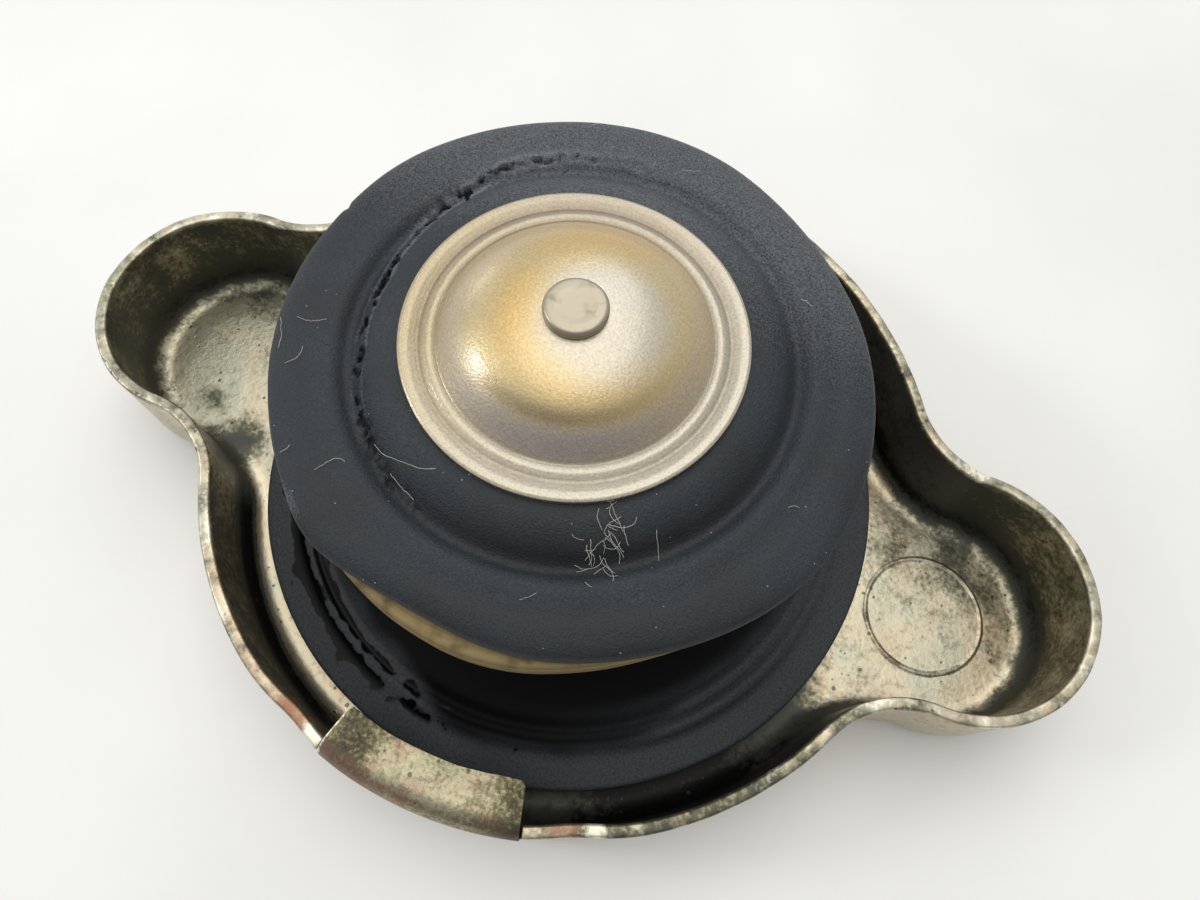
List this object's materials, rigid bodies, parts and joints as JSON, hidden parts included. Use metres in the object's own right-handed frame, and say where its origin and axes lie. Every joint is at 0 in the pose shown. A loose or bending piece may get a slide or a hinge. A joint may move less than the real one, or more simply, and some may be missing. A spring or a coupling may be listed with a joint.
{
  "type": "radiator cap",
  "caption": "Pressed-steel pressure cap with two finger ears, locking lugs, an upper seal and a spring-loaded pressure valve that carries a vacuum valve.",
  "frame": {"origin": "middle of the outer face, which the cap lies on, at its lowest plane", "axes": "+Z out of the cap's mouth along the valve's axis, +X through the ears towards the one with the ring, Y through the locking lugs"},
  "size_m": [0.0856, 0.059, 0.0302],
  "materials": {
    "plated_steel": "tarnished plating, pitted and worn at the rim",
    "rivet_steel": "dull plated",
    "spring_steel": "oiled spring steel",
    "seal_rubber": "smooth black rubber with a worn gloss",
    "gasket_rubber": "matt charcoal rubber",
    "bell_brass": "dull brass",
    "valve_brass": "dull brown brass",
    "vacuum_steel": "satin plate with a gold heat tint",
    "stem_steel": "satin plated",
    "light_spring_steel": "bright drawn wire"
  },
  "bodies": {
    "shell": {"shell": "plated_steel", "centre_rivet": "rivet_steel"},
    "insert": {"friction_spring": "spring_steel", "upper_gasket": "seal_rubber", "bell_housing": "bell_brass", "rivet_washer": "rivet_steel", "pressure_spring": "spring_steel"},
    "pressure_valve": {"valve_plate": "valve_brass", "guide_sleeve": "valve_brass", "pressure_gasket": "gasket_rubber", "gasket_eyelet": "valve_brass", "vacuum_spring": "light_spring_steel"},
    "vacuum_valve": {"vacuum_plate": "vacuum_steel", "vacuum_stem": "stem_steel", "spring_retainer": "stem_steel"}
  },
  "joints": [
    {"name": "insert_swivel", "type": "hinge", "parent": "shell", "child": "insert", "pos_m": [0, 0, 0.004], "axis": [0, 0, 1], "continuous": true},
    {"name": "pressure_lift", "type": "slide", "parent": "insert", "child": "pressure_valve", "axis": [0, 0, -1], "range_m": [0, 0.005], "stiffness_N_per_m": 4000, "springref_m": -0.0075, "deforming": ["pressure_spring"]},
    {"name": "vacuum_open", "type": "slide", "parent": "pressure_valve", "child": "vacuum_valve", "axis": [0, 0, 1], "range_m": [0, 0.0025], "stiffness_N_per_m": 120, "springref_m": -0.004, "deforming": ["vacuum_spring"]}
  ]
}
